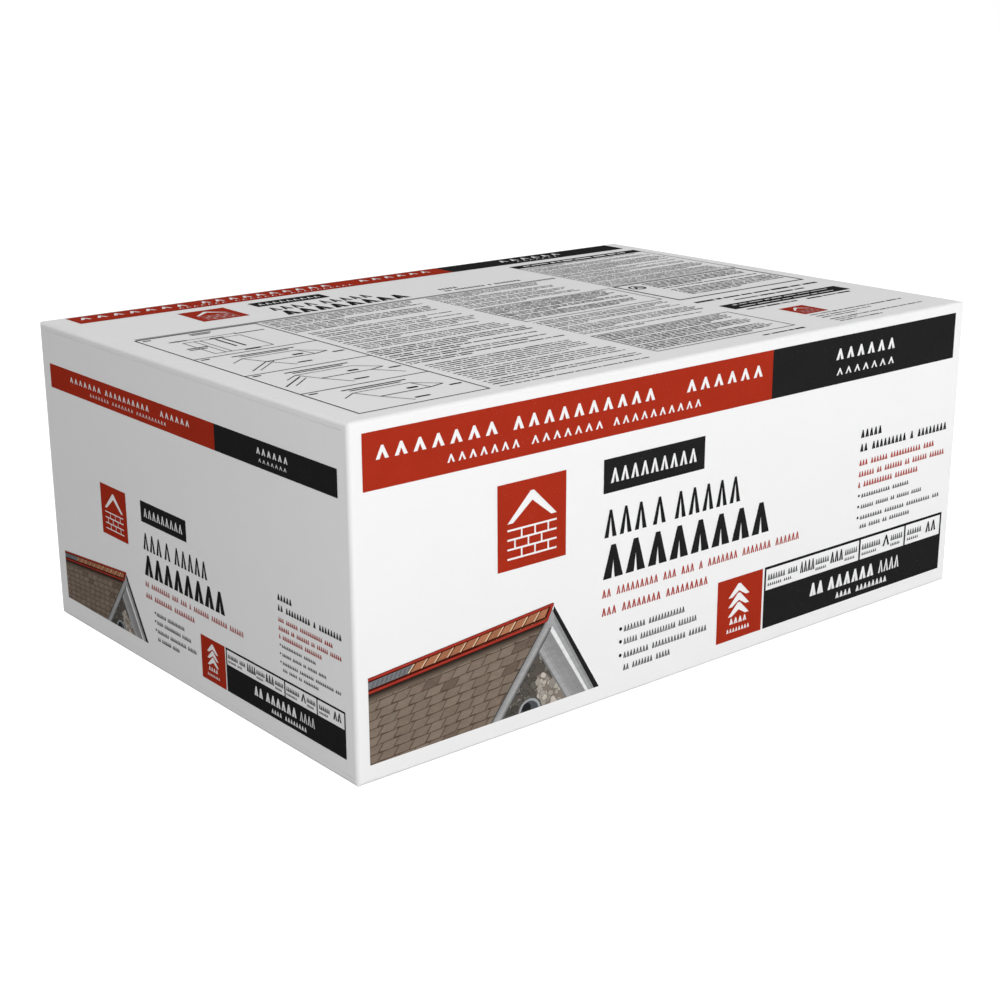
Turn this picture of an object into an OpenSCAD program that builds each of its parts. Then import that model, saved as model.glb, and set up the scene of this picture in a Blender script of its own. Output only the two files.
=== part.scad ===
// Carton of high-profile hip and ridge shingles: one folded corrugated carton
// and the two stacks of laminated shingle pieces that fill it.
// Frame: origin at the middle of the base, +X along the carton's length,
// +Y towards its back panel, +Z up.

/* [Shingles] */
// Length of one shingle piece, in mm
piece_l = 292; // [200:1:400]
// Width of one shingle piece, in mm
piece_w = 203; // [150:1:300]
// Length of the thick, exposed part of a piece, in mm
exposure_l = 203; // [150:1:250]
// Thickness of the base sheet, in mm
sheet_t = 3.2; // [2:0.1:5]
// Thickness of one layer laminated on the exposed part, in mm
layer_t = 3.6; // [2:0.1:5]
// Layers laminated on the exposed part
upper_layers = 2; // [1:1:4]
// How far each upper layer steps back from the one below it, in mm
layer_step = 9; // [2:1:20]
// Pieces in each of the two stacks
pieces_high = 15; // [2:1:20]

/* [Carton] */
// Thickness of the corrugated board, in mm
board_t = 4; // [3:0.1:6]
// Outside radius of a fold, in mm
fold_r = 2; // [1:0.1:5]
// How far a dust flap reaches in from its end panel, in mm
dust_flap_l = 140; // [60:1:200]
// Width of the glued tab at the maker's joint, in mm
glue_tab_w = 35; // [20:1:50]
// How far the end panel's cut edge stops short of the back panel's face, in mm
joint_inset = 0.5; // [0:0.1:1]

/* [Clearances] */
// Room between a stack and the end panel, in mm
end_room = 15.5; // [1:0.5:30]
// Room between a stack and the front or back panel, in mm
side_room = 2.5; // [1:0.5:10]
// Room above the stacks, under the dust flaps, in mm
head_room = 0.8; // [0.3:0.1:5]
// Room between the two stacks, in mm
stack_gap = 4; // [1:0.5:10]
// Gap between neighbouring pieces of a stack, in mm
piece_gap = 0.2; // [0.1:0.1:1]
// Gap at a free flap edge, and between a flap and what it lies on, in mm
flap_gap = 0.3; // [0.2:0.1:1]
// Room between a dust flap's side edge and the front or back panel, in mm
flap_side_room = 2; // [1:0.5:6]

/* [Hidden] */
$fn = 48;
OVER = 1; // how far a cutting solid runs past a face

piece_t = sheet_t + upper_layers * layer_t;
stack_h = pieces_high * piece_t + (pieces_high - 1) * piece_gap;
closure_t = 2 * board_t + flap_gap; // an outer flap with a dust flap on it
stack_z = closure_t + flap_gap;

carton_l = 2 * (piece_w + end_room + board_t) + stack_gap;
carton_w = piece_l + 2 * (side_room + board_t);
carton_h = stack_z + stack_h + head_room + closure_t;
half_l = carton_l / 2;
half_w = carton_w / 2;

// A rectangle centred on the origin, with corners of radius r.
module rounded_rect(l, w, r) {
    square([l - 2 * r, w], center = true);
    square([l, w - 2 * r], center = true);
    for (x = [-1, 1], y = [-1, 1])
        translate([x * (l / 2 - r), y * (w / 2 - r)]) circle(r);
}

// The closed carton's outside, with its twelve edges rounded to fold_r.
module outside() {
    intersection() {
        linear_extrude(carton_h) rounded_rect(carton_l, carton_w, fold_r);
        translate([0, half_w, carton_h / 2]) rotate([90, 0, 0])
            linear_extrude(carton_w) rounded_rect(carton_l, carton_h, fold_r);
        translate([-half_l, 0, carton_h / 2]) rotate([90, 0, 90])
            linear_extrude(carton_l) rounded_rect(carton_w, carton_h, fold_r);
    }
}

// The space between the four side panels and the two outer flaps.
module inside() {
    translate([board_t - half_l, board_t - half_w, board_t])
        cube([carton_l - 2 * board_t, carton_w - 2 * board_t, carton_h - 2 * board_t]);
}

// The cut that frees an outer flap on three sides, from height z up.
// The flap stays joined to the front panel by its fold.
module flap_cut(z) {
    translate([-half_l - OVER, board_t - half_w, z])
        cube([carton_l + 2 * OVER, carton_w + OVER, flap_gap]);
}

// Raises a plan shape over the height of the side panels, between the flap cuts.
module over_panels() {
    translate([0, 0, board_t + flap_gap])
        linear_extrude(carton_h - 2 * (board_t + flap_gap)) children();
}

// The corner of the side panels where the maker's joint goes.
module joint_corner() {
    reach = max(fold_r, board_t);
    over_panels() translate([half_l - board_t - reach, half_w - reach])
        square([board_t + reach + OVER, reach + OVER]);
}

// The maker's joint: the end panel's square edge covers a tab of the back panel,
// which folds in behind it.
module makers_joint() {
    reach = max(fold_r, board_t);
    fold_x = half_l - board_t;
    over_panels() {
        translate([fold_x, half_w - reach - OVER])
            square([board_t, reach + OVER - joint_inset]);
        intersection() {
            difference() {
                translate([-board_t / 2, 0])
                    rounded_rect(carton_l - board_t, carton_w, fold_r);
                translate([-half_l, -half_w])
                    square([carton_l - 2 * board_t, carton_w - board_t]);
            }
            translate([fold_x - reach - OVER, half_w - board_t - glue_tab_w])
                square([reach + OVER, board_t + glue_tab_w]);
        }
    }
}

// The dust flaps of both end panels, from height z up.
module dust_flaps(z) {
    flap_w = carton_w - 2 * (board_t + flap_side_room);
    for (end = [0, 1])
        mirror([end, 0, 0]) translate([-half_l + board_t / 2, -flap_w / 2, z])
            cube([board_t / 2 + dust_flap_l, flap_w, board_t]);
}

// The carton: one board, with an outer flap over its top and one under its base.
module carton() {
    color("white") {
        difference() {
            outside();
            inside();
            flap_cut(board_t);
            flap_cut(carton_h - board_t - flap_gap);
            joint_corner();
        }
        makers_joint();
        dust_flaps(board_t + flap_gap);
        dust_flaps(carton_h - closure_t);
    }
}

// One shingle piece, lying flat: a full sheet, with shorter layers laminated on
// its exposed part, each stepped back from the one below it.
module shingle_piece() {
    translate([-piece_w / 2, -piece_l / 2, 0]) {
        cube([piece_w, piece_l, sheet_t]);
        for (layer = [0:upper_layers - 1])
            translate([0, 0, sheet_t])
                cube([piece_w, exposure_l - layer * layer_step, (layer + 1) * layer_t]);
    }
}

// A stack of pieces on the dust flaps, each turned half round from the last.
// side is -1 for the left stack and 1 for the right one.
module shingle_stack(side) {
    pitch = piece_t + piece_gap;
    color("dimgray")
        for (i = [0:pieces_high - 1])
            translate([side * (piece_w + stack_gap) / 2, 0, stack_z + i * pitch])
                rotate([0, 0, (i % 2) * 180]) shingle_piece();
}

carton();
shingle_stack(-1);  // shingle_stack_left
shingle_stack(1);  // shingle_stack_right
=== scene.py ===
"""A closed, printed carton of hip and ridge shingles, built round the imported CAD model.

The carton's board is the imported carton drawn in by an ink's thickness. Each printed face
carries sheets of ink that lie at the CAD surface. The print is generic: gable marks, bars
and blocks stand where a carton of this kind has its text. Print layouts are in mm, with x
to the right and y down from the face's top left corner, as seen from outside.
"""
import math
import random

import bpy
from mathutils import Matrix, Vector
from mathutils.geometry import delaunay_2d_cdt


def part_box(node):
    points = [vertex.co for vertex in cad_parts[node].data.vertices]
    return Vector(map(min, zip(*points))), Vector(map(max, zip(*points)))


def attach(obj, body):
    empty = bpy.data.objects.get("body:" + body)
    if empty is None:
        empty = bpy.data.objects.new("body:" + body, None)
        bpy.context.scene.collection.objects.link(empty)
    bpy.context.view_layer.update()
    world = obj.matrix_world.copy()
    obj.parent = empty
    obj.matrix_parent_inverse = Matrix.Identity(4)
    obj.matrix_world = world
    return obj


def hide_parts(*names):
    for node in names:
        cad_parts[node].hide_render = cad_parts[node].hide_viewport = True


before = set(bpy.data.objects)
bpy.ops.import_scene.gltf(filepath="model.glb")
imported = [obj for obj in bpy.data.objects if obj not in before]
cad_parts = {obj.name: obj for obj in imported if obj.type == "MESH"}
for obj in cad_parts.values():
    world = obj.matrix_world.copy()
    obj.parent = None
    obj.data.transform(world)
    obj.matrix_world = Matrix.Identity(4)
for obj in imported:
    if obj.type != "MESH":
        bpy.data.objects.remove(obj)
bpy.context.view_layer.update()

MM = 0.001
INK_T = 0.1 * MM  # the board's surface lies this far under the ink's
BOARD_T = 4 * MM  # of the CAD model
FLAP_GAP = 0.3 * MM  # between the CAD model's flaps and the panel edges under and over them
SEAM_CLOSE = 0.2 * MM  # how much of that gap the visible board closes
SEAM_SLACK = 0.002 * MM  # a point this near to a seam's height is on it
LINER_REACH = 3.6 * MM  # an outside face's middle is less deep than this in the carton's box
BODY = "root"
BARE = "bare"  # the ink name that uncovers the board again
BAKE_MAP = "OFBake"
MERGE = 0.002  # print points closer than this, in mm, become one

box_low, box_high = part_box("carton")


# ---------------------------------------------------------------- materials

def linear(red, green, blue):
    """A colour given in 0-255 display values, as linear RGBA."""
    parts = []
    for value in (red, green, blue):
        c = value / 255
        parts.append(c / 12.92 if c <= 0.04045 else ((c + 0.055) / 1.055) ** 2.4)
    return (*parts, 1.0)


def scaled(colour, k):
    """A linear colour, k times as light."""
    return (colour[0] * k, colour[1] * k, colour[2] * k, 1.0)


class Material:
    """A node material with a Principled shader, and short ways to add nodes to it."""

    def __init__(self, name):
        self.material = bpy.data.materials.new(name)
        self.material.use_nodes = True
        self.nodes = self.material.node_tree.nodes
        self.links = self.material.node_tree.links
        self.shader = self.nodes["Principled BSDF"]
        self.place = self.add("ShaderNodeTexCoord").outputs["Object"]

    def add(self, kind, **settings):
        node = self.nodes.new(kind)
        for key, value in settings.items():
            setattr(node, key, value)
        return node

    def feed(self, socket, value):
        """Links an output to an input, or sets the input to a plain value."""
        if isinstance(value, bpy.types.NodeSocket):
            self.links.new(value, socket)
        else:
            socket.default_value = value

    def noise(self, scale, detail=3.0, roughness=0.5, stretch=(1, 1, 1)):
        spread = self.add("ShaderNodeMapping")
        self.feed(spread.inputs["Vector"], self.place)
        spread.inputs["Scale"].default_value = stretch
        node = self.add("ShaderNodeTexNoise")
        self.feed(node.inputs["Vector"], spread.outputs["Vector"])
        node.inputs["Scale"].default_value = scale
        node.inputs["Detail"].default_value = detail
        node.inputs["Roughness"].default_value = roughness
        return node.outputs["Fac"]

    def math(self, operation, a, b=0.0, c=0.0):
        node = self.add("ShaderNodeMath", operation=operation)
        for socket, value in zip(node.inputs, (a, b, c)):
            self.feed(socket, value)
        return node.outputs["Value"]

    def ranged(self, value, low, high, from_low=0.3, from_high=0.7):
        """value, which mostly lies between from_low and from_high, brought to low..high."""
        node = self.add("ShaderNodeMapRange")
        self.feed(node.inputs["Value"], value)
        node.inputs["From Min"].default_value = from_low
        node.inputs["From Max"].default_value = from_high
        node.inputs["To Min"].default_value = low
        node.inputs["To Max"].default_value = high
        return node.outputs["Result"]

    def mix(self, share, a, b, blend="MIX"):
        node = self.add("ShaderNodeMix", data_type="RGBA", blend_type=blend)
        self.feed(node.inputs["Factor"], share)
        self.feed(node.inputs[6], a)
        self.feed(node.inputs[7], b)
        return node.outputs[2]

    def bump(self, height, depth, below=None):
        """A bump of the given depth in metres. below is a normal to add it to."""
        node = self.add("ShaderNodeBump")
        node.inputs["Distance"].default_value = depth
        node.inputs["Strength"].default_value = 1.0
        self.feed(node.inputs["Height"], height)
        if below is not None:
            self.feed(node.inputs["Normal"], below)
        return node.outputs["Normal"]

    def finish(self, colour, roughness, normal=None, specular=0.3):
        self.feed(self.shader.inputs["Base Color"], colour)
        self.feed(self.shader.inputs["Roughness"], roughness)
        self.shader.inputs["Specular IOR Level"].default_value = specular
        if normal is not None:
            self.feed(self.shader.inputs["Normal"], normal)
        return self.material


FLUTE_PITCH = 7.7 * MM


def flutes(m):
    """The faint ribs that the board's flutes raise in its liner. They run up the four
    sides, and from front to back on the flaps."""
    normal = m.add("ShaderNodeNewGeometry").outputs["Normal"]
    facing = m.add("ShaderNodeSeparateXYZ")
    m.feed(facing.inputs["Vector"], normal)
    place = m.add("ShaderNodeSeparateXYZ")
    m.feed(place.inputs["Vector"], m.place)
    on_end = m.math("GREATER_THAN", m.math("ABSOLUTE", facing.outputs["X"]), 0.7)
    along = m.add("ShaderNodeMix", data_type="FLOAT")
    m.feed(along.inputs["Factor"], on_end)
    m.feed(along.inputs[2], place.outputs["X"])
    m.feed(along.inputs[3], place.outputs["Y"])
    turns = m.math("MULTIPLY", along.outputs[0], 2 * math.pi / FLUTE_PITCH)
    return m.math("MULTIPLY_ADD", m.math("SINE", turns), 0.5, 0.5)


def relief(m, flute_depth=0.018 * MM, fibre_depth=0.012 * MM):
    """Flute ribs with the liner's fibre grain on them."""
    ribs = m.bump(flutes(m), flute_depth)
    return m.bump(m.noise(1400, detail=4.0, roughness=0.6), fibre_depth, ribs)


def white_liner():
    """Clay-coated white liner: cloudy on a scale of centimetres, fibrous up close."""
    m = Material("white_liner")
    cloud = m.ranged(m.noise(38, detail=3.0), 0.0, 1.0)
    fibre = m.ranged(m.noise(1100, detail=5.0, roughness=0.65), 0.0, 1.0)
    base = m.mix(cloud, scaled(LINER, 0.985), LINER)
    colour = m.mix(m.math("MULTIPLY", fibre, 0.35), base, scaled(LINER, 0.94))
    roughness = m.ranged(m.noise(300, detail=3.0), 0.70, 0.82)
    return m.finish(colour, roughness, relief(m), specular=0.12)


def kraft():
    """Brown kraft paper: long fibres and dark flecks."""
    m = Material("kraft_paper")
    fibre = m.ranged(m.noise(900, detail=6.0, roughness=0.7, stretch=(1, 1, 0.25)), 0, 1)
    fleck = m.math("GREATER_THAN", m.noise(2600, detail=2.0), 0.68)
    base = m.mix(fibre, linear(150, 112, 74), linear(186, 146, 102))
    colour = m.mix(m.math("MULTIPLY", fleck, 0.5), base, linear(96, 70, 46))
    roughness = m.ranged(m.noise(500), 0.8, 0.92)
    return m.finish(colour, roughness, relief(m, 0.03 * MM, 0.03 * MM), specular=0.2)


def ink(name, colour, roughness):
    """Flexographic ink on the liner: a slightly uneven solid with pinholes in it."""
    m = Material(name)
    cloud = m.ranged(m.noise(60, detail=3.0), 0.0, 1.0)
    mottle = m.ranged(m.noise(1600, detail=4.0, roughness=0.7), 0.0, 1.0)
    base = m.mix(cloud, scaled(colour, 0.93), scaled(colour, 1.04))
    tone = m.mix(m.math("MULTIPLY", mottle, 0.5), base, scaled(colour, 1.12))
    pinhole = m.math("GREATER_THAN", m.noise(2900, detail=1.0), 0.76)
    shade = m.mix(m.math("MULTIPLY", pinhole, 0.35), tone, linear(190, 180, 176))
    uneven = m.ranged(m.noise(420, detail=3.0), roughness - 0.05, roughness + 0.07)
    return m.finish(shade, uneven, relief(m), specular=0.01)


def picture_ink():
    """The picture's colours, held by its faces, broken up by a fine printed grain."""
    m = Material("ink_picture")
    held = m.add("ShaderNodeVertexColor", layer_name=PICTURE_COLOUR)
    grain = m.ranged(m.noise(2300, detail=3.0, roughness=0.75), 0.80, 1.22)
    soft = m.ranged(m.noise(260, detail=2.0, stretch=(0.5, 0.5, 1.6)), 0.93, 1.07)
    light = m.math("MULTIPLY", grain, soft)
    colour = m.mix(1.0, held.outputs["Color"], light, blend="MULTIPLY")
    roughness = m.ranged(m.noise(420, detail=3.0), 0.66, 0.76)
    return m.finish(colour, roughness, relief(m), specular=0.01)


def granules():
    """Asphalt shingle: ceramic granules of mixed browns pressed into black asphalt."""
    m = Material("shingle_granules")
    cells = m.add("ShaderNodeTexVoronoi", feature="F1")
    m.feed(cells.inputs["Vector"], m.place)
    cells.inputs["Scale"].default_value = 720
    tone = m.add("ShaderNodeValToRGB")
    picked = m.add("ShaderNodeSeparateColor")
    m.feed(picked.inputs["Color"], cells.outputs["Color"])
    m.feed(tone.inputs["Fac"], picked.outputs["Red"])
    ramp = tone.color_ramp
    ramp.interpolation = "CONSTANT"
    ramp.elements[0].color = linear(52, 46, 42)
    ramp.elements[1].position = 0.86
    ramp.elements[1].color = linear(150, 132, 112)
    for at, colour in ((0.3, (84, 70, 60)), (0.55, (106, 88, 72)), (0.72, (66, 60, 58))):
        ramp.elements.new(at).color = linear(*colour)
    drift = m.ranged(m.noise(30, detail=2.0), 0.8, 1.15)
    colour = m.mix(1.0, tone.outputs["Color"], drift, blend="MULTIPLY")
    roughness = m.ranged(m.noise(900), 0.82, 0.95)
    lumps = m.bump(m.math("SUBTRACT", 1.0, cells.outputs["Distance"]), 0.6 * MM)
    return m.finish(colour, roughness, lumps, specular=0.35)


LINER = (0.885, 0.885, 0.885, 1.0)
RED = (0.368, 0.0275, 0.0112, 1.0)
BLACK = (0.0155, 0.0155, 0.0155, 1.0)
GREY = (0.30, 0.30, 0.30, 1.0)
PICTURE_COLOUR = "print_colour"

LINER_MATERIAL = white_liner()
KRAFT_MATERIAL = kraft()
PICTURE_MATERIAL = picture_ink()
GRANULE_MATERIAL = granules()
INKS = {
    "red": ink("ink_red", RED, 0.7),
    "black": ink("ink_black", BLACK, 0.7),
    "grey": ink("ink_grey", GREY, 0.72),
}


# ------------------------------------------------------------- flat shapes, in mm

def rect(x, y, w, h):
    """A rectangle, from its top left corner."""
    return [(x, y), (x + w, y), (x + w, y + h), (x, y + h)]


def rounded(x, y, w, h, r, steps=3):
    """A rectangle with corners of radius r, or as much of it as there is room for."""
    r = min(r, 0.49 * w, 0.49 * h)
    points = []
    centres = ((x + w - r, y + r), (x + w - r, y + h - r), (x + r, y + h - r), (x + r, y + r))
    for quarter, (cx, cy) in enumerate(centres):
        for i in range(steps + 1):
            a = math.radians(90 * (quarter - 1) + 90 * i / steps)
            points.append((cx + r * math.cos(a), cy + r * math.sin(a)))
    return points


def disc(cx, cy, r, steps=16):
    """A round spot, as a polygon with that many sides."""
    turns = [2 * math.pi * i / steps for i in range(steps)]
    return [(cx + r * math.cos(a), cy + r * math.sin(a)) for a in turns]


def gable(x, y, w, h, t):
    """A gable mark: two sloping bars of thickness t that meet at a blunt peak."""
    mid = x + w / 2
    return [
        (x, y + h), (mid - 0.35 * t, y), (mid + 0.35 * t, y), (x + w, y + h),
        (x + w - 1.25 * t, y + h), (mid, y + 1.7 * t), (x + 1.25 * t, y + h),
    ]


def line(x0, y0, x1, y1, t):
    """A straight line of thickness t."""
    length = math.hypot(x1 - x0, y1 - y0)
    nx, ny = (y1 - y0) / length * t / 2, (x0 - x1) / length * t / 2
    return [(x0 + nx, y0 + ny), (x1 + nx, y1 + ny), (x1 - nx, y1 - ny), (x0 - nx, y0 - ny)]


def path(points, t):
    """Straight lines of thickness t through the points."""
    return [line(*a, *b, t) for a, b in zip(points, points[1:])]


def frame_lines(x, y, w, h, t):
    """The outline of a rectangle, as four bars of thickness t inside it."""
    return [rect(x, y, w, t), rect(x, y + h - t, w, t),
            rect(x, y + t, t, h - 2 * t), rect(x + w - t, y + t, t, h - 2 * t)]


def gable_row(x, y, w, h, count, t, share=0.8):
    """A row of gable marks over the width w. share is a mark's part of their pitch."""
    pitch = w / (count - 1 + share)
    return [gable(x + i * pitch, y, share * pitch, h, t) for i in range(count)]


def text_line(x, y, w, h, letters, weight):
    """One line of body text over the width w, each letter a small gable mark. letters counts
    those of each word, h is the height of a capital, and weight a stroke's share of the
    letters' pitch."""
    pitch = w / (sum(letters) + len(letters) - 1)
    marks = []
    for count in letters:
        for i in range(count):
            marks.append(gable(x + i * pitch, y + 0.2 * h, 0.84 * pitch, 0.8 * h, weight * pitch))
        x += pitch * (count + 1)
    return marks


def bullet(x, y, r):
    """The round mark before a line of a list."""
    return disc(x, y, r, 10)


def inked(ink_name, shapes):
    """The shapes as print in one ink."""
    return [(ink_name, shape) for shape in shapes]


def moved(prints, k, dx, dy):
    """The same print at scale k, moved."""
    return [(name, [(x * k + dx, y * k + dy) for x, y in shape]) for name, shape in prints]


def clipped(shape, window):
    """The part of a convex shape inside a convex window. Both run clockwise on the print."""
    for (ax, ay), (bx, by) in zip(window, window[1:] + window[:1]):
        kept = []
        for (px, py), (qx, qy) in zip(shape, shape[1:] + shape[:1]):
            p = (bx - ax) * (py - ay) - (by - ay) * (px - ax)
            q = (bx - ax) * (qy - ay) - (by - ay) * (qx - ax)
            if p >= 0:
                kept.append((px, py))
            if (p >= 0) != (q >= 0):
                s = p / (p - q)
                kept.append((px + s * (qx - px), py + s * (qy - py)))
        shape = kept
        if len(shape) < 3:
            return []
    return shape


# ----------------------------------------------------------- groups of the print

TITLE_WORDS = ((0, 71, 7), (80.5, 94.5, 10), (198, 58, 6))
SUBTITLE_WORDS = ((0, 44, 7), (51.5, 47, 7), (105.5, 63, 10))
NOTE_WORDS = ((0, 52, 6),)
SUBNOTE_WORDS = ((0, 51, 7),)


def title(words, x, y, k):
    """Widely spaced words of gable marks, from x on, with their caps' top at y."""
    rows = []
    for start, width, count in words:
        rows += gable_row(x + start * k, y + 1 * k, width * k, 6.4 * k, count, 1.8 * k, 0.7)
    return inked(BARE, rows)


def subtitle(words, x, y, k):
    """Smaller words of gable marks for the line under a title."""
    rows = []
    for start, width, count in words:
        rows += gable_row(x + start * k, y + 0.2 * k, width * k, 4.1 * k, count, 1.0 * k, 0.7)
    return inked(BARE, rows)


def band(left, joint, right, top, bottom):
    """The two-coloured band along a face's upper edge."""
    return (inked("red", [rect(left, top, joint - left, bottom - top)])
            + inked("black", [rect(joint, top, right - joint, bottom - top)]))


def course_tile(x, y, size):
    """A red tile with a gable over three courses of shingle tabs, drawn in lines."""
    k = size / 44.2
    left, width, pitch, t = 6.2, 31.8, 8.6, 1.0
    shapes = [gable(left, 6.0, width, 14.5, 2.9)]
    for row in range(4):
        shapes.append(rect(left, 23.4 + 4.9 * row, width, t))
    for row in range(3):
        edge = left + pitch * (0.5 if row % 2 else 1.0)
        while edge < left + width - 2:
            shapes.append(rect(edge, 23.4 + 4.9 * row + t, t, 4.9 - t))
            edge += pitch
    return inked("red", [rect(x, y, size, size)]) + moved(inked(BARE, shapes), k, x, y)


def headline():
    """The black label and the two headlines under it."""
    prints = inked("black", [rect(155, 45, 73, 18)])
    prints += inked(BARE, gable_row(160, 50.4, 62, 7.6, 9, 1.5))
    for x, w, count in ((156, 30, 3), (190.5, 9.5, 1), (206.5, 50.5, 5)):
        prints += inked("black", gable_row(x, 72, w, 14.7, count, 2.35))
    prints += inked("black", gable_row(155.5, 91, 126, 18, 8, 4.7, 0.88))
    return prints


def claims():
    """The two red lines and the black list under the headlines."""
    prints = inked("red", text_line(155, 113.3, 153, 5.7, (2, 9, 3, 3, 1, 7, 7, 6), 0.245))
    prints += inked("red", text_line(155, 123.3, 79, 5.7, (3, 8, 9), 0.25))
    for y, w, letters in ((136.8, 45.5, (7, 12)), (144, 55, (5, 13, 7)), (151.7, 63, (8, 11, 6))):
        prints += inked("black", [bullet(168.7, y + 2.2, 1.05)])
        prints += inked("black", text_line(171, y, w, 4.3, letters, 0.26))
    prints += inked("black", text_line(171, 158.7, 35, 4.3, (2, 7, 5), 0.27))
    return prints


def stack_block():
    """The red block with three stacked gable marks and two small lines."""
    prints = inked("red", [rect(241.8, 130.5, 36.4, 36.5)])
    prints += inked(BARE, [gable(250.7, 134.6 + 5.6 * i, 17, 7.4, 2.5) for i in range(3)])
    prints += inked(BARE, text_line(252, 153.4, 14.5, 4.4, (4,), 0.3))
    prints += inked(BARE, text_line(249.8, 159.6, 19, 3.0, (8,), 0.3))
    return prints


TABLE_CELLS = ((281.1, 362.2), (363.7, 404.8), (406.2, 439.8))
TABLE_BOLD = ((310, 12.5, 4), (336.5, 11.5, 3), (384.5, 6.5, 1), (426, 10, 2))
TABLE_SMALL = ((282.5, 25.5, (7, 4)), (323.5, 12, (6,)), (349.5, 11.5, (6,)),
               (365, 17.5, (8,)), (392, 11.5, (6,)), (408, 14, (6,)))


def spec_table():
    """The table: three white cells over a black bar."""
    prints = inked("black", [rect(279.7, 130.3, 161.6, 36.7)])
    prints += inked(BARE, [rect(x0, 131.9, x1 - x0, 12.4) for x0, x1 in TABLE_CELLS])
    for x, w, count in TABLE_BOLD:
        prints += inked("black", gable_row(x, 133.8, w, 6.8, count, min(1.3, 0.3 * w / count), 0.9))
    for x, w, letters in TABLE_SMALL:
        prints += inked("black", text_line(x, 134.2, w, 4.4, letters, 0.29))
        prints += inked("black", text_line(x, 139.8, 0.8 * w, 2.2, letters, 0.29))
    for x, w, count in ((319.5, 12, 2), (335.5, 42, 6)):
        prints += inked(BARE, gable_row(x, 149.2, w, 7.8, count, 2.1, 0.86))
    prints += inked(BARE, gable_row(382, 149.2, 19.5, 7.8, 4, 1.1, 0.86))
    prints += inked(BARE, text_line(343, 159.2, 48, 4.6, (4, 8), 0.3))
    return prints


def second_heading():
    """The two black lines over the second block of text."""
    prints = inked("black", text_line(358, 63, 19.5, 6, (5,), 0.32))
    prints += inked("black", text_line(358, 71.5, 82, 5.8, (2, 9, 1, 8), 0.32))
    return prints


def second_block():
    """The second block of text, at the right."""
    prints = second_heading()
    for y, w, letters in ((81.5, 70.5, (3, 6, 11, 4)), (88.3, 81, (6, 2, 7, 2, 6, 6)),
                          (94.8, 56, (1, 11, 9))):
        prints += inked("red", text_line(358, y, w, 4.3, letters, 0.3))
    for y, w, letters in ((102.5, 44.5, (12, 7)), (109.3, 57.5, (6, 6, 2, 6, 5)),
                          (116, 75.5, (9, 8, 10, 3))):
        prints += inked("black", [bullet(359.3, y + 1.5, 0.85)])
        prints += inked("black", text_line(361.5, y, w, 3.1, letters, 0.28))
    prints += inked("black", text_line(361.5, 121.5, 47, 3.1, (3, 5, 2, 9), 0.28))
    return prints


def front_print():
    """The print of the front, which the back repeats."""
    prints = band(7.5, 279, 440.7, 6, 33.3)
    prints += title(TITLE_WORDS, 15, 12, 1.0)
    prints += subtitle(SUBTITLE_WORDS, 55.5, 24, 1.0)
    prints += title(NOTE_WORDS, 332, 12, 1.0)
    prints += subtitle(SUBNOTE_WORDS, 333, 24, 1.0)
    prints += course_tile(85.5, 45.3, 44.2)
    prints += headline() + claims() + stack_block() + spec_table() + second_block()
    return prints


END_SCALE = 0.66
END_X = 5.35
END_PICTURE_Y = 53.8


def end_print():
    """The print of an end: the front's groups, made smaller to fit."""
    prints = band(10.2, 189.7, 296, 22.7, 36.5)
    prints += title(TITLE_WORDS, 34.5, 25.8, 0.512)
    prints += subtitle(SUBTITLE_WORDS, 57.5, 31.6, 0.5)
    prints += title(NOTE_WORDS, 228.5, 25.8, 0.52)
    prints += subtitle(SUBNOTE_WORDS, 230, 31.6, 0.48)
    prints += course_tile(61.8, 81.4, 29.2)
    prints += moved(headline() + claims(), END_SCALE, END_X, 51.5)
    prints += moved(stack_block() + spec_table(), END_SCALE, END_X, 54.6)
    prints += moved(second_block(), END_SCALE, END_X, 54.5)
    return prints


# ----------------------------------------------------------- the top's fine print

def fine_line(rng, x0, x1, y, t, letter):
    """One line of fine print: words of random length between x0 and x1."""
    bars = []
    x = x0
    while x < x1 - 2 * letter:
        w = min(letter * rng.randint(1, 11), x1 - x)
        h = t * rng.uniform(0.75, 1.25)
        bars.append(rect(x, y + (t - h) / 2, w, h))
        x += w + letter * rng.uniform(0.7, 1.2)
    return bars


def fine_text(rng, x0, x1, y0, y1, pitch, t, letter, longest=6):
    """Paragraphs of fine print from y0 down to y1."""
    bars = []
    y = y0
    left = rng.randint(2, longest)
    while y + t <= y1:
        left -= 1
        last = left == 0
        end = x0 + (x1 - x0) * (rng.uniform(0.25, 0.85) if last else rng.uniform(0.93, 1.0))
        bars += fine_line(rng, x0, end, y, t, letter)
        y += pitch * (1.45 if last else 1.0)
        if last:
            left = rng.randint(2, longest)
    return bars


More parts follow.
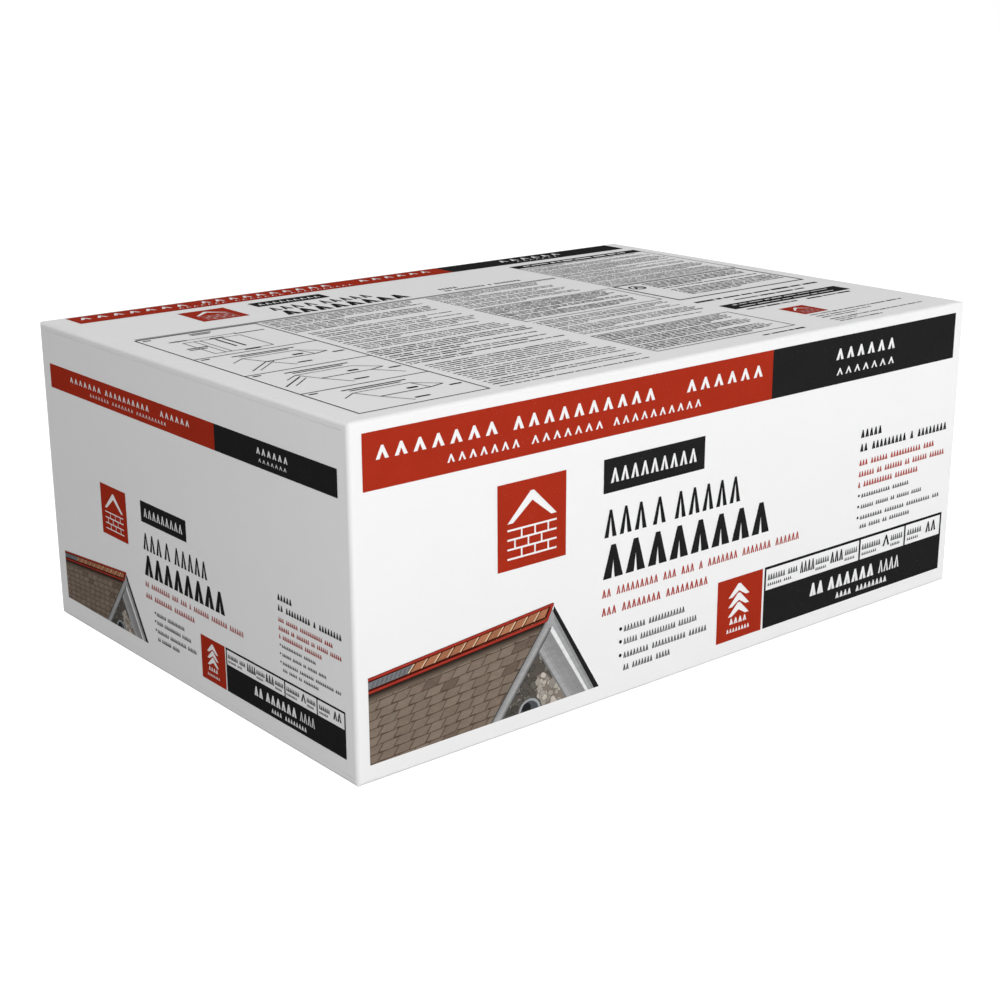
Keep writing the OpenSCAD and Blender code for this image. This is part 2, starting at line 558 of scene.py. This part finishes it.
def shingle_drawing(x, y):
    """A shingle piece in plan, with dimension lines and small labels."""
    thin = 0.55
    shapes = frame_lines(x + 17, y + 22, 36, 34, thin)
    shapes += [rect(x + 23.5, y + 22, thin, 34), rect(x + 27.2, y + 22, thin, 34)]
    shapes += path([(x + 17, y + 16.5), (x + 53, y + 16.5)], thin)
    shapes += path([(x + 17, y + 14.8), (x + 17, y + 18.4)], thin)
    shapes += path([(x + 53, y + 14.8), (x + 53, y + 18.4)], thin)
    shapes += path([(x + 36, y + 24), (x + 36, y + 46)], 1.3)
    shapes += path([(x + 40.5, y + 24), (x + 40.5, y + 48)], 1.3)
    shapes += [rounded(x + 31, y + 3.5, 14, 1.5, 0.7), rounded(x + 31, y + 6.4, 12, 1.3, 0.6)]
    shapes += [rounded(x + 12, y + 15.6, 11, 1.6, 0.7), rounded(x + 52, y + 17, 19, 1.3, 0.6)]
    shapes += [rounded(x + 11, y + 36.5, 12.5, 1.6, 0.7), rounded(x + 10.5, y + 40, 11, 1.4, 0.6)]
    shapes += [rounded(x + 34, y + 20.2, 9, 1.6, 0.7), rounded(x + 34, y + 56.4, 10, 1.6, 0.7)]
    return shapes


def roof_drawing(x, y, hip, gutters=True):
    """A roof in outline, with its ridge and one end, and small labels."""
    thin = 0.6
    ridge = [(x + 12, y + 20.5), (x + 21, y + 14), (x + 54, y + 14), (x + 66, y + 25)]
    eave = [(x + 27, y + 27.5), (x + 57, y + 27.5), (x + 66, y + 25)]
    shapes = path(ridge, thin) + path(eave, 0.9)
    shapes += path([(x + 21, y + 14), (x + 27, y + 27.5), (x + 36, y + 43)], thin)
    if hip:
        shapes += path([(x + 54, y + 14), (x + 57, y + 27.5)], thin)
    else:
        shapes += path([(x + 4, y + 32), (x + 21, y + 18)], 0.9)
        shapes += path([(x + 9, y + 33), (x + 22, y + 22)], thin)
        shapes += path([(x + 57, y + 27.5), (x + 68, y + 42)], thin)
    if hip and gutters:
        shapes += path([(x + 10, y + 42), (x + 27, y + 27.5)], 0.7)
        shapes += path([(x + 14, y + 43), (x + 31, y + 28.5)], 0.5)
    shapes += [rounded(x + 19, y + 6.3, 38, 1.4, 0.6), rounded(x + 22, y + 9.2, 30, 1.2, 0.5)]
    shapes += [rounded(x + 46, y + 21.5, 6.5, 2.4, 0.9), rounded(x + 66, y + 29, 7.5, 1.8, 0.8)]
    shapes += [rounded(x + 38, y + 38.8, 9, 1.8, 0.8)]
    return shapes


def figure_column():
    """The column of figures at the top's left, in four boxed cells."""
    shapes = frame_lines(14, 86, 76.5, 208.5, 0.9)
    shapes += [rect(14.9, y, 74.7, 0.9) for y in (147.5, 196.8, 245.8)]
    shapes += [rounded(17, y, 5, 1.6, 0.7) for y in (89.5, 150.6, 199.6, 248.8)]
    shapes += shingle_drawing(14, 86)
    shapes += roof_drawing(14, 147.5, True) + roof_drawing(14, 197, False)
    shapes += roof_drawing(14, 246, True, gutters=False)
    return inked("black", shapes)


def note_box(rng):
    """The outlined box with a round mark and fine print."""
    shapes = frame_lines(322, 132.5, 113, 59.5, 1.6)
    shapes += fine_text(rng, 343, 430, 137, 158, 3.5, 1.5, 1.15)
    shapes += fine_text(rng, 343, 432, 163, 186, 3.5, 1.4, 1.15)
    prints = inked("black", shapes + [disc(332.5, 144.5, 5.8, 24)])
    prints += inked(BARE, [disc(332.5, 144.5, 4.3, 24)])
    prints += inked("black", [gable(328.9, 141.6, 7.2, 5.4, 1.5)])
    return prints


def text_columns(rng):
    """The fine print of the top's middle and right columns."""
    shapes = fine_text(rng, 93, 199, 88, 126, 3.6, 1.2, 1.05)
    shapes += fine_text(rng, 96.5, 199, 129.5, 187, 3.6, 1.1, 1.05)
    shapes += fine_text(rng, 93, 201, 189.5, 230, 3.6, 1.3, 1.15)
    shapes += fine_text(rng, 96.5, 200, 234.5, 295, 3.6, 1.05, 1.05)
    shapes += fine_text(rng, 209.5, 301, 88, 132, 3.1, 1.05, 0.95)
    shapes += fine_text(rng, 211, 311, 137.5, 180, 2.9, 1.25, 0.95)
    shapes += fine_text(rng, 209.5, 315, 187, 233, 3.1, 1.05, 1.0)
    shapes += fine_text(rng, 211, 311, 238, 285.5, 2.9, 1.25, 0.95)
    shapes += frame_lines(208.8, 135, 108.2, 47.5, 0.8)
    shapes += frame_lines(208.8, 235.5, 108.2, 51.5, 0.8)
    shapes += fine_line(rng, 282, 316, 293.4, 1.9, 1.4)
    shapes += frame_lines(322.3, 41, 114.5, 90, 0.7)
    shapes += fine_text(rng, 324.5, 434, 43.5, 129, 3.0, 1.05, 0.9)
    return inked("black", shapes)


def address_block(rng):
    """The bold lines, bar, tile and fine lines at the top's lower right."""
    shapes = fine_line(rng, 323, 433, 202.2, 3.0, 2.3)
    shapes += fine_line(rng, 348, 411, 211.2, 2.2, 1.9)
    shapes += fine_line(rng, 331, 375, 237, 2.0, 1.2) + fine_line(rng, 384, 424, 237, 2.0, 1.2)
    shapes += fine_line(rng, 345, 428, 273.2, 1.2, 1.2)
    for x1, y in ((394, 278), (378, 282), (431, 288), (364, 291.5), (383, 295)):
        shapes += fine_line(rng, 345, x1, y, 1.1, 0.9)
    prints = inked("black", shapes + [rect(326, 220, 104, 13.5)])
    prints += inked(BARE, fine_line(rng, 334, 420, 222.8, 1.7, 1.4))
    prints += inked(BARE, fine_line(rng, 334, 420, 228.6, 1.7, 1.4))
    prints += course_tile(345.2, 249.5, 20.5)
    return prints


def top_print():
    """The print of the top."""
    rng = random.Random(11)
    prints = band(14.5, 282, 436, 4, 23.5)
    prints += title(TITLE_WORDS, 19.5, 6.6, 0.982)
    prints += subtitle(SUBTITLE_WORDS, 80, 16.2, 0.74)
    prints += title(NOTE_WORDS, 331, 6.6, 1.04)
    prints += subtitle(SUBNOTE_WORDS, 341, 16.2, 0.74)
    prints += course_tile(70.5, 33, 30.4)
    prints += moved(headline(), 0.7, 9.5, 1.0)
    prints += moved(second_heading(), 0.75, -34.5, 18.75)
    prints += inked("grey", [rect(16, 82.6, 301, 3.2)])
    prints += figure_column() + text_columns(rng)
    prints += inked("black", [rect(322, 32.5, 115, 8.5)])
    prints += inked(BARE, fine_line(rng, 331, 429, 35.3, 2.6, 1.9))
    prints += note_box(rng) + address_block(rng)
    return prints


# ------------------------------------------------------------------ the picture

PICTURE_LEFT = 7.5
PICTURE_BASE = 167
SHINGLE_TONES = ((129, 115, 103), (126, 111, 99), (123, 109, 96), (131, 117, 104), (125, 112, 100))
DARK_SHINGLE = (107, 93, 82)
SHINGLE_JOINT = (98, 84, 73)
SHINGLE_SHADE = (82, 69, 59)
TAB_LEAN = 3.1
CAPS = 11
CAP_PITCH = 7.82
CAP_LEAN = 7
STONES = 130


def ridge_low(x):
    """The lower edge of the ridge caps."""
    return 130.1 - 0.0804 * (x - PICTURE_LEFT)


def ridge_high(x):
    """The upper edge of the ridge caps."""
    return 123.5 - 0.0934 * (x - PICTURE_LEFT)


def course_edge(k, x):
    """The upper edge of course k of the roof's shingles. Lower ones are less steep."""
    return 131.7 + 4.4 * k - (0.087 - 0.0055 * k) * (x - PICTURE_LEFT)


def toned(colour, shapes):
    """Picture shapes in one colour, given in display values. Empty shapes are left out."""
    return [(linear(*colour), shape) for shape in shapes if len(shape) > 2]


def strip(edge, start, end, x0, x1):
    """A strip that follows an edge, from one depth below it to another."""
    return [(x0, edge(x0) + start), (x1, edge(x1) + start), (x1, edge(x1) + end),
            (x0, edge(x0) + end)]


def roof_field(rng):
    """The courses of shingle tabs on the roof's slope, and the ridge's shade on them."""
    field = [(PICTURE_LEFT, 130.0), (118.6, 120.5), (83, PICTURE_BASE),
             (PICTURE_LEFT, PICTURE_BASE)]
    prints = toned(SHINGLE_JOINT, [field])
    for k in range(-1, 9):
        x = 2.4 + rng.uniform(-0.9, 0.9)
        while x < 118:
            w = rng.uniform(8.7, 9.9)
            a, b = x + rng.uniform(0.35, 0.65), x + w - 0.35
            top = [course_edge(k, a + TAB_LEAN) + 0.1, course_edge(k, b + TAB_LEAN) + 0.1]
            low = [course_edge(k + 1, a) - 0.15, course_edge(k + 1, b) - 0.55]
            tone = DARK_SHINGLE if rng.random() < 0.06 else rng.choice(SHINGLE_TONES)
            tab = [(a + TAB_LEAN, top[0]), (b + TAB_LEAN, top[1]), (b, low[1]), (a, low[0])]
            shade_from = a + rng.uniform(-1.2, 1.5)
            shade_to = b + rng.uniform(-3.5, -0.5)
            depth = rng.uniform(0.3, 1.0)
            shade = [(shade_from, course_edge(k + 1, shade_from) - depth),
                     (shade_to, course_edge(k + 1, shade_to) - 0.3),
                     (shade_to, course_edge(k + 1, shade_to) + 0.05),
                     (shade_from, course_edge(k + 1, shade_from) + 0.1)]
            prints += toned(tone, [clipped(tab, field)])
            prints += toned(SHINGLE_SHADE, [clipped(shade, field)])
            x += w
    for start, end, colour in ((0, 1.9, (42, 35, 30)), (1.9, 2.7, (62, 53, 46)),
                               (2.7, 3.6, (84, 73, 64)), (3.6, 4.8, (103, 90, 79))):
        shade = strip(ridge_low, start, end, PICTURE_LEFT, 118)
        prints += toned(colour, [clipped(shade, field)])
    return prints


def ridge_caps(rng):
    """The strip of ridge caps, unfinished at its left end, between two red lines."""
    bare_end = strip(ridge_high, 0, 7, PICTURE_LEFT, 36)
    whole = [(PICTURE_LEFT, ridge_high(PICTURE_LEFT)), (121.5, ridge_high(121.5)),
             (117, ridge_low(117)), (PICTURE_LEFT, ridge_low(PICTURE_LEFT))]
    prints = toned((116, 118, 121), [clipped(bare_end, whole)])
    for i in range(9):
        x = 9 + 2.6 * i
        mark = [(x + 1.5, ridge_high(x) + 2), (x + 2.6, ridge_high(x) + 2),
                (x + 1.1, ridge_low(x) - 2), (x, ridge_low(x) - 2)]
        prints += toned((96, 97, 98), [mark])
    for i in range(CAPS):
        x = 28.5 + CAP_PITCH * i
        k = rng.uniform(0.95, 1.05)
        body = (164 * k, 109 * k, 80 * k)
        for start, end, colour in ((0, CAP_PITCH + 3, body), (0.8, 1.9, (74, 38, 26)),
                                   (0, 1.0, (214, 188, 156))):
            a, b = x + start, x + end
            high_a, high_b = a + CAP_LEAN, b + CAP_LEAN
            cap = [(high_a, ridge_high(high_a)), (high_b, ridge_high(high_b)),
                   (b, ridge_low(b)), (a, ridge_low(a))]
            prints += toned(colour, [clipped(cap, whole)])
    tip = (121.2, 113.8)
    upper = [(PICTURE_LEFT, 123.8), tip, (117.2, 121.4)]
    lower = [(PICTURE_LEFT, 130.3), (117.2, 121.4)]
    shade = [(PICTURE_LEFT, 124.6), (119.4, 114.4), (116.4, 119.9), (PICTURE_LEFT, 129.1)]
    prints += toned((62, 20, 12), path(shade[:3], 1.1) + path(shade[2:], 1.0))
    for t, colour in ((1.8, (94, 28, 21)), (1.1, (164, 54, 43))):
        prints += toned(colour, path(upper, t) + path(lower, t)
                        + [disc(*tip, t / 2), disc(*lower[1], t / 2)])
    return prints


def between(outer, inner, start, end):
    """The part of the strip between two lines, from one share of its width to another."""
    def at(i, s):
        return (outer[i][0] + (inner[i][0] - outer[i][0]) * s,
                outer[i][1] + (inner[i][1] - outer[i][1]) * s)
    return [at(0, start), at(0, end), at(1, end), at(1, start)]


def stone(rng, x, y, r):
    """An irregular stone: a few corners on a stretched and turned circle."""
    corners = rng.randint(5, 7)
    turn, squash = rng.uniform(0, math.pi), rng.uniform(0.55, 0.9)
    points = []
    for i in range(corners):
        a = 2 * math.pi * (i + rng.uniform(-0.3, 0.3)) / corners
        u, v = r * math.cos(a), r * squash * math.sin(a)
        points.append((x + u * math.cos(turn) - v * math.sin(turn),
                       y + u * math.sin(turn) + v * math.cos(turn)))
    return points


def gable_wall(rng):
    """The rubble stone in the gable, under its overhang, with a round-headed vent."""
    wall = [(111.6, 136.6), (131.5, PICTURE_BASE), (87.5, PICTURE_BASE)]
    lit_wall = [(111, 150), (116, 148.5), (131.5, PICTURE_BASE), (110.5, PICTURE_BASE)]
    prints = toned((88, 82, 77), [wall]) + toned((132, 121, 110), [clipped(lit_wall, wall)])
    for _ in range(STONES):
        x, y = rng.uniform(88, 130), rng.uniform(138, 168)
        lit = x > 110.5 and y > 149 + 0.3 * (x - 111)
        light = rng.uniform(138, 190) if lit else rng.uniform(70, 124)
        joint_light = 104 if lit else 54
        if rng.random() < 0.08:
            light = rng.uniform(60, 76)
        block = stone(rng, x, y, rng.uniform(1.4, 3.1))
        joint = [(x + 1.15 * (u - x), y + 1.15 * (v - y)) for u, v in block]
        prints += toned((joint_light * 1.04, joint_light, joint_light * 0.94),
                        [clipped(joint, wall)])
        prints += toned((light * 1.04, light, light * 0.94), [clipped(block, wall)])
    for r, colour in ((8.3, (86, 83, 80)), (7.4, (158, 161, 164)), (6.1, (76, 78, 82))):
        prints += toned(colour, [clipped(disc(106, 168, r, 24), wall)])
    return prints + toned((36, 36, 37), [clipped(disc(104, 165.4, 2.9, 16), wall)])


def gable_end(rng):
    """The gable: its wall, the soffit and the trim boards on both slopes."""
    prints = gable_wall(rng)
    soffit_in = ((111.5, 137), (130.3, PICTURE_BASE))
    soffit_out = ((119.3, 127), (144.4, PICTURE_BASE))
    for s0, s1, shade in ((0, 0.08, 120), (0.08, 0.28, 164), (0.28, 0.42, 152),
                          (0.42, 0.7, 145), (0.7, 1, 140)):
        prints += toned((shade, shade, shade + 1), [between(soffit_in, soffit_out, s0, s1)])
    trim = [(115.6, 120.6), (121.2, 116.4), (150.4, PICTURE_BASE), (144, PICTURE_BASE),
            (119.2, 127)]
    prints += toned((160, 161, 163), [trim])
    for inner, outer, inner_x, outer_x, shade in (
            ((119.5, 127.2), (121.2, 125.4), 144.2, 146.1, 228),
            ((122.6, 123.4), (121.6, 117.4), 148.6, 150.6, 144),
            ((121.4, 117.6), (122.2, 114.8), 150.2, 153.6, 34)):
        board = [inner, outer, (outer_x, PICTURE_BASE), (inner_x, PICTURE_BASE)]
        prints += toned((shade, shade, shade), [board])
    trim_out = ((116.3, 121.6), (80.6, PICTURE_BASE))
    trim_in = ((120.4, 126.6), (88.8, PICTURE_BASE))
    for s0, s1, shade in ((0, 0.1, 60), (0.1, 0.24, 138), (0.24, 0.46, 156),
                          (0.46, 0.68, 166), (0.68, 0.8, 146), (0.8, 0.92, 116), (0.92, 1, 76)):
        prints += toned((shade, shade, shade), [between(trim_out, trim_in, s0, s1)])
    return prints


def roof_picture():
    """A gable roof whose ridge is partly capped, drawn from flat shapes."""
    rng = random.Random(23)
    return roof_field(rng) + gable_end(rng) + ridge_caps(rng)


# ------------------------------------------------------------------ the pieces

class Face:
    """One printed face: its top left corner and its two directions, seen from outside."""

    def __init__(self, name, corner, right, down):
        self.name = name
        self.corner = Vector(corner)
        self.right = Vector(right)
        self.down = Vector(down)

    def at(self, x, y):
        return self.corner + self.right * (x * MM) + self.down * (y * MM)


FRONT = Face("front", (box_low.x, box_low.y, box_high.z), (1, 0, 0), (0, 0, -1))
LEFT = Face("left", (box_low.x, box_high.y, box_high.z), (0, -1, 0), (0, 0, -1))
BACK = Face("back", (box_high.x, box_high.y, box_high.z), (-1, 0, 0), (0, 0, -1))
RIGHT = Face("right", (box_high.x, box_low.y, box_high.z), (0, 1, 0), (0, 0, -1))
TOP = Face("top", (box_low.x, box_high.y, box_high.z), (1, 0, 0), (0, -1, 0))


def cut(prints):
    """Cuts overlapping shapes into triangles. Later shapes cover earlier ones. Returns the
    points, the triangles and the name or colour of the shape that shows in each."""
    points, rings = [], []
    for _, shape in prints:
        rings.append(list(range(len(points), len(points) + len(shape))))
        points += [Vector(p) for p in shape]
    found = delaunay_2d_cdt(points, [], rings, 1, MERGE, True)
    triangles, names = [], []
    for triangle, covering in zip(found[2], found[5]):
        if covering and prints[max(covering)][0] != BARE:
            triangles.append(triangle)
            names.append(prints[max(covering)][0])
    return found[0], triangles, names


def sheet(name, face, prints):
    """A flat piece of print on a face. Returns it with the name or colour of each triangle."""
    points, triangles, names = cut(prints)
    used = sorted({i for triangle in triangles for i in triangle})
    number = {old: new for new, old in enumerate(used)}
    mesh = bpy.data.meshes.new(name)
    places = [face.at(*points[i]) for i in used]
    rings = [[number[i] for i in triangle] for triangle in triangles]
    mesh.from_pydata(places, [], rings)
    outward = face.down.cross(face.right)
    if mesh.polygons[0].normal.dot(outward) < 0:
        mesh.flip_normals()
    low_x, low_y = (min(points[i][n] for i in used) for n in (0, 1))
    high_x, high_y = (max(points[i][n] for i in used) for n in (0, 1))
    layer = mesh.uv_layers.new(name=BAKE_MAP)
    for loop in mesh.loops:
        x, y = points[used[loop.vertex_index]]
        layer.data[loop.index].uv = ((x - low_x) / (high_x - low_x),
                                     1 - (y - low_y) / (high_y - low_y))
    piece = bpy.data.objects.new(name, mesh)
    bpy.context.scene.collection.objects.link(piece)
    return piece, names


def add_print(face, prints):
    """The solid inks of a face, one material each."""
    piece, names = sheet(face.name + "_print", face, prints)
    order = [ink_name for ink_name in INKS if ink_name in names]
    for ink_name in order:
        piece.data.materials.append(INKS[ink_name])
    for polygon, ink_name in zip(piece.data.polygons, names):
        polygon.material_index = order.index(ink_name)
    keep(piece)


def add_picture(face, prints):
    """The picture of a face, its colours held by the mesh."""
    piece, colours = sheet(face.name + "_picture", face, prints)
    held = piece.data.color_attributes.new(PICTURE_COLOUR, "FLOAT_COLOR", "CORNER")
    for polygon, colour in zip(piece.data.polygons, colours):
        for corner in polygon.loop_indices:
            held.data[corner].color = colour
    piece.data.materials.append(PICTURE_MATERIAL)
    keep(piece)


def keep(piece):
    """Fixes a visible piece to the carton."""
    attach(piece, BODY)


def add_board():
    """The folded and closed carton, drawn in by the ink's thickness on five sides."""
    size = box_high - box_low
    middle = (box_low + box_high) / 2
    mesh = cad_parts["carton"].data.copy()
    mesh.name = "carton_board"
    shrink = Vector((1 - 2 * INK_T / size.x, 1 - 2 * INK_T / size.y, 1 - INK_T / size.z))
    base = Vector((middle.x, middle.y, box_low.z))
    for vertex in mesh.vertices:
        vertex.co = base + (closed(vertex.co) - base) * shrink
    mesh.materials.clear()
    mesh.materials.append(LINER_MATERIAL)
    mesh.materials.append(KRAFT_MATERIAL)
    for polygon in mesh.polygons:
        polygon.material_index = 0 if is_outside(polygon) else 1
    piece = bpy.data.objects.new("carton_board", mesh)
    bpy.context.scene.collection.objects.link(piece)
    keep(piece)
    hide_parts("carton")


def closed(place):
    """The place of a board point once the panels' edges have met the flaps over and under
    them, but for a hairline. The CAD model leaves a gap there."""
    low_seam = box_low.z + BOARD_T + FLAP_GAP
    high_seam = box_high.z - BOARD_T - FLAP_GAP
    shift = 0.0
    if abs(place.z - low_seam) < SEAM_SLACK:
        shift = -SEAM_CLOSE
    elif abs(place.z - high_seam) < SEAM_SLACK:
        shift = SEAM_CLOSE
    return Vector((place.x, place.y, place.z + shift))


def is_outside(polygon):
    """True for the faces that carry the white liner."""
    slack = 1e-5
    c, n = polygon.center, polygon.normal
    depth = min(box_high.x - abs(c.x), box_high.y - abs(c.y), box_high.z - c.z, c.z)
    outward = n.x * c.x >= -slack and n.y * c.y >= -slack
    return depth < LINER_REACH and outward


add_board()
add_print(FRONT, front_print())
add_print(BACK, front_print())
add_print(LEFT, end_print())
add_print(RIGHT, end_print())
add_print(TOP, top_print())
add_picture(FRONT, roof_picture())
add_picture(BACK, roof_picture())
add_picture(LEFT, moved(roof_picture(), END_SCALE, END_X, END_PICTURE_Y))
add_picture(RIGHT, moved(roof_picture(), END_SCALE, END_X, END_PICTURE_Y))
for node_name in ("shingle_stack_left", "shingle_stack_right"):
    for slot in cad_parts[node_name].material_slots:
        slot.material = GRANULE_MATERIAL


# ------------------------------------------------------------------ the studio

FLOOR_DARK = (0.38, 0.38, 0.38, 1)
FLOOR_LIGHT = (0.42, 0.42, 0.42, 1)
FLOOR_GLOW = 0.95  # what the camera sees of the floor's own light
FLOOR_REACH = 8.0  # metres from the middle to each side


def add_floor():
    """A plain floor that throws back part of the light, and glows white to the camera."""
    m = Material("studio_floor")
    tint = m.ranged(m.noise(0.6, detail=1.0), 0.985, 1.0)
    colour = m.mix(tint, FLOOR_DARK, FLOOR_LIGHT)
    m.finish(colour, 0.9, specular=0.0)
    m.shader.inputs["Emission Color"].default_value = (1, 1, 1, 1)
    rays = m.add("ShaderNodeLightPath").outputs["Is Camera Ray"]
    m.feed(m.shader.inputs["Emission Strength"], m.math("MULTIPLY", rays, FLOOR_GLOW))
    under = box_low.z - 0.05 * MM
    mesh = bpy.data.meshes.new("studio_floor")
    corners = [(x * FLOOR_REACH, y * FLOOR_REACH, under)
               for x, y in ((-1, -1), (1, -1), (1, 1), (-1, 1))]
    mesh.from_pydata(corners, [], [(0, 1, 2, 3)])
    mesh.materials.append(m.material)
    floor = bpy.data.objects.new("studio_floor", mesh)
    bpy.context.scene.collection.objects.link(floor)


LIGHTS = (  # name, turn, rise, power in watts, size and distance in metres
    ("key", 30, 20, 13.5, 0.8, 1.6),
    ("front_fill", -30, 8, 5.4, 0.7, 1.2),
    ("behind_left", 150, 30, 28.5, 2.0, 3.5),
    ("behind", 180, 50, 32.5, 2.0, 3.5),
    ("right_fill", -95, 15, 20.0, 1.4, 2.4),
)


def add_light(name, turn, rise, power, size, distance):
    """A square soft light, aimed at the carton's middle. turn is in degrees from the front
    towards the left end, and rise in degrees above the horizon."""
    data = bpy.data.lights.new(name, "AREA")
    data.energy = power
    data.size = size
    light = bpy.data.objects.new(name, data)
    bpy.context.scene.collection.objects.link(light)
    aim = Vector((0, 0, (box_low.z + box_high.z) / 2))
    turn, rise = math.radians(turn), math.radians(rise)
    way = Vector((-math.sin(turn) * math.cos(rise), -math.cos(turn) * math.cos(rise), math.sin(rise)))
    light.location = aim + way * distance
    light.rotation_euler = way.to_track_quat("Z", "Y").to_euler()


def add_world(ambient):
    """Even light from all round, in front of a white backdrop."""
    world = bpy.data.worlds.new("studio")
    bpy.context.scene.world = world
    world.use_nodes = True
    nodes, links = world.node_tree.nodes, world.node_tree.links
    background = nodes["Background"]
    background.inputs["Color"].default_value = (1, 1, 1, 1)
    rays = nodes.new("ShaderNodeLightPath")
    strength = nodes.new("ShaderNodeMapRange")
    strength.inputs["To Min"].default_value = ambient
    strength.inputs["To Max"].default_value = 1.0
    links.new(rays.outputs["Is Camera Ray"], strength.inputs["Value"])
    links.new(strength.outputs["Result"], background.inputs["Strength"])


AMBIENT = 0.2
CAMERA_PLACE = (-0.6402, -0.7575, 0.3655)
CAMERA_TURN = 39.73  # degrees from +Y towards +X
CAMERA_DIP = 17.06  # degrees below the horizon
CAMERA_ROLL = 0.18
CAMERA_LENS = 61.99  # mm, on a sensor 36 mm wide


def add_camera():
    """The camera, which looks down at the near corner of the front and the left end."""
    data = bpy.data.cameras.new("camera")
    data.lens = CAMERA_LENS
    data.sensor_width = 36.0
    data.clip_start = 0.01
    camera = bpy.data.objects.new("camera", data)
    bpy.context.scene.collection.objects.link(camera)
    turn = Matrix.Rotation(math.radians(-CAMERA_TURN), 4, "Z")
    dip = Matrix.Rotation(math.radians(90 - CAMERA_DIP), 4, "X")
    roll = Matrix.Rotation(math.radians(-CAMERA_ROLL), 4, "Z")
    camera.matrix_world = Matrix.Translation(CAMERA_PLACE) @ turn @ dip @ roll
    bpy.context.scene.camera = camera


add_floor()
add_world(AMBIENT)
for light_settings in LIGHTS:
    add_light(*light_settings)
add_camera()
bpy.context.scene.view_settings.view_transform = "Standard"
